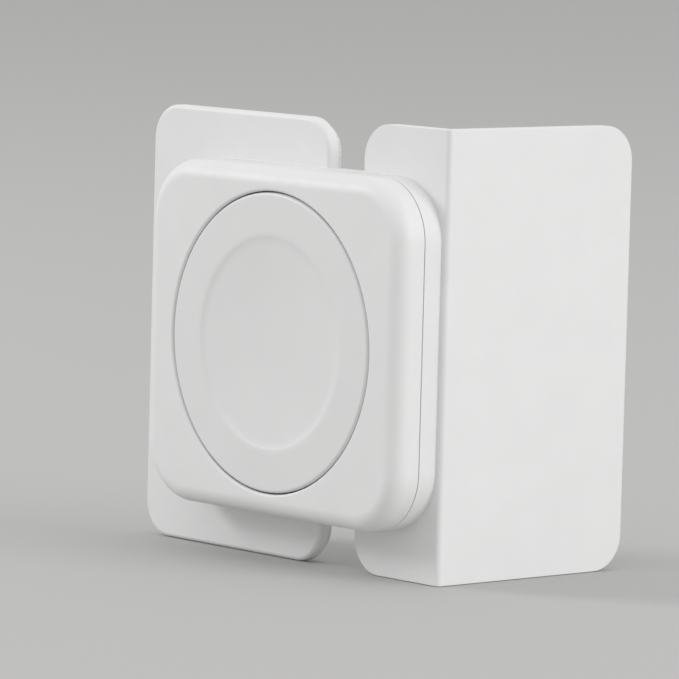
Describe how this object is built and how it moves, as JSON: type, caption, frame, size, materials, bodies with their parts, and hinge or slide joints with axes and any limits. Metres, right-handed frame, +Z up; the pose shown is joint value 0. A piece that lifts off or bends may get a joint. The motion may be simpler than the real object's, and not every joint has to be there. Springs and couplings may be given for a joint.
{
  "type": "cabinet safety lock",
  "caption": "Stick-on child-safety lock for a drawer or door corner: flat base plate, flat rounded latch housing with a large round push button, and an L-shaped bracket that slides out of it.",
  "frame": {"origin": "middle of the base plate's adhesive face, which lies on the cabinet's side panel", "axes": "+X into the furniture, out of the adhesive face; +Y to the back of the cabinet; +Z up; the drawer opens towards -Y"},
  "size_m": [0.0335, 0.051, 0.05],
  "materials": {
    "white_plastic": "white ABS with a fine satin spark-eroded texture",
    "button_plastic": "white ABS, satin, a little smoother than the housing",
    "acetal": "natural acetal, waxy satin",
    "zinc_steel": "zinc-plated steel",
    "spring_steel": "drawn spring wire",
    "foam_tape": "white acrylic foam tape, matt"
  },
  "bodies": {
    "lock_body": {"lock_base": "white_plastic", "cover": "white_plastic", "cover_screws": "zinc_steel", "latch_fork": "acetal", "fork_screw": "zinc_steel", "button_spring_upper": "spring_steel", "button_spring_lower": "spring_steel", "cabinet_pad": "foam_tape"},
    "push_button": {"push_button": "button_plastic"},
    "drawer_bracket": {"drawer_bracket": "white_plastic", "strike": "acetal", "strike_screws": "zinc_steel", "side_pad": "foam_tape", "front_pad": "foam_tape"}
  },
  "joints": [
    {"name": "button_press", "type": "slide", "parent": "lock_body", "child": "push_button", "axis": [1, 0, 0], "range_m": [0, 0.0015], "stiffness_N_per_m": 1200, "springref_m": -0.001, "deforming": ["button_spring_upper", "button_spring_lower", "latch_fork"]},
    {"name": "bracket_slide", "type": "slide", "parent": "lock_body", "child": "drawer_bracket", "axis": [0, -1, 0], "range_m": [0, 0.045], "deforming": ["latch_fork"]}
  ]
}
